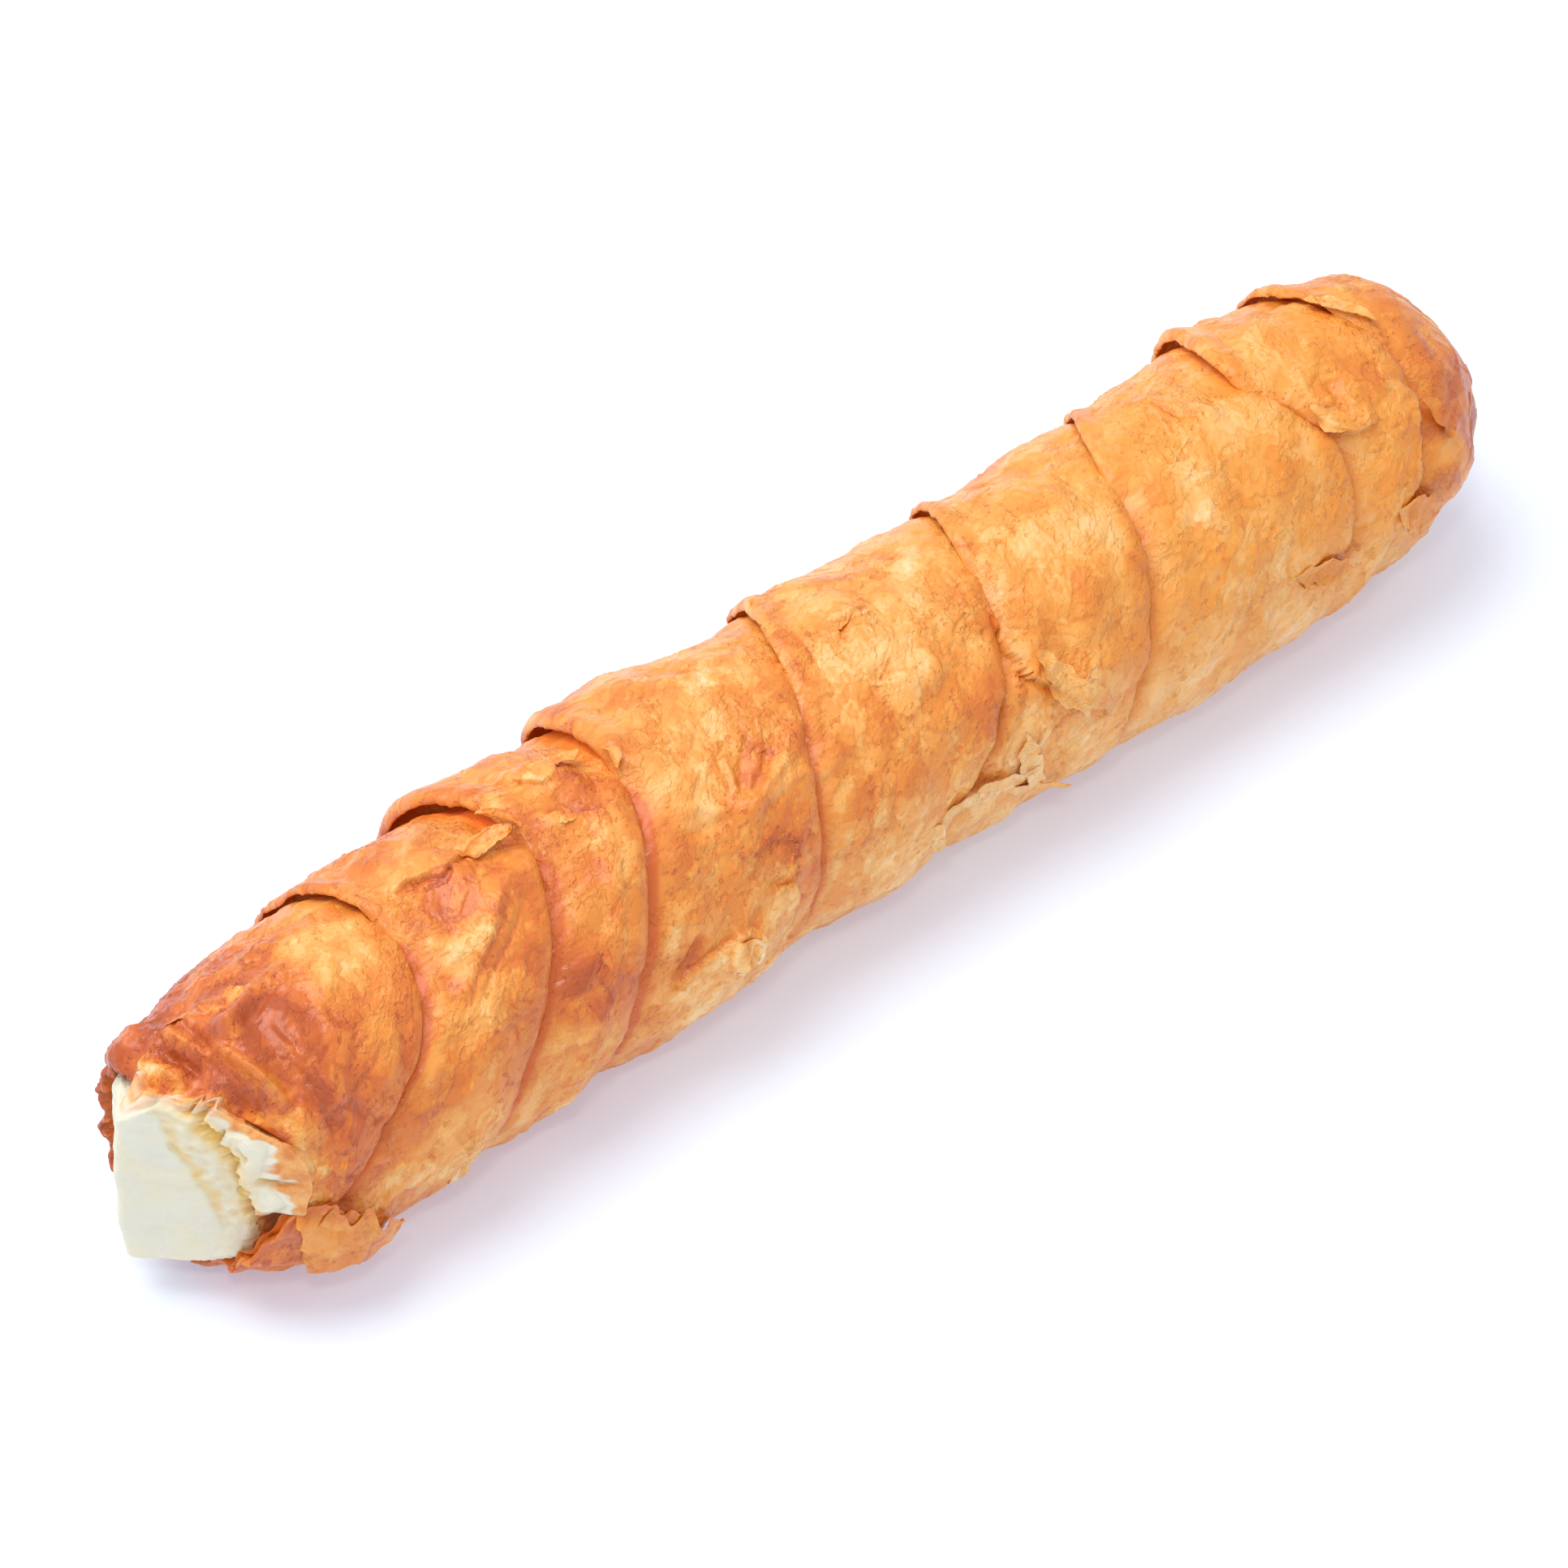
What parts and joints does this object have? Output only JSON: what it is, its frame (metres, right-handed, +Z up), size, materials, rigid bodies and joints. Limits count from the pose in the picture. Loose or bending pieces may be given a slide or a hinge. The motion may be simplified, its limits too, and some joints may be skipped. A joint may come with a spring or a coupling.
{
  "type": "rolled borek",
  "caption": "Long baked roll of thin dough wound in slanting turns round soft white cheese, domed at one end and open at the other.",
  "frame": {"origin": "middle of the roll's box on the surface it rests on", "axes": "+X along the roll from the open, cheese end to the closed domed end, +Z up, the front is -Y"},
  "size_m": [0.259, 0.0494, 0.0467],
  "materials": {
    "crust": "baked filo dough, golden orange, buttery half-gloss, browner on the folds",
    "cheese": "soft ivory white cheese, moist and crumbly"
  },
  "bodies": {
    "root": {"pastry": "crust", "cheese_filling": "cheese"}
  },
  "joints": []
}
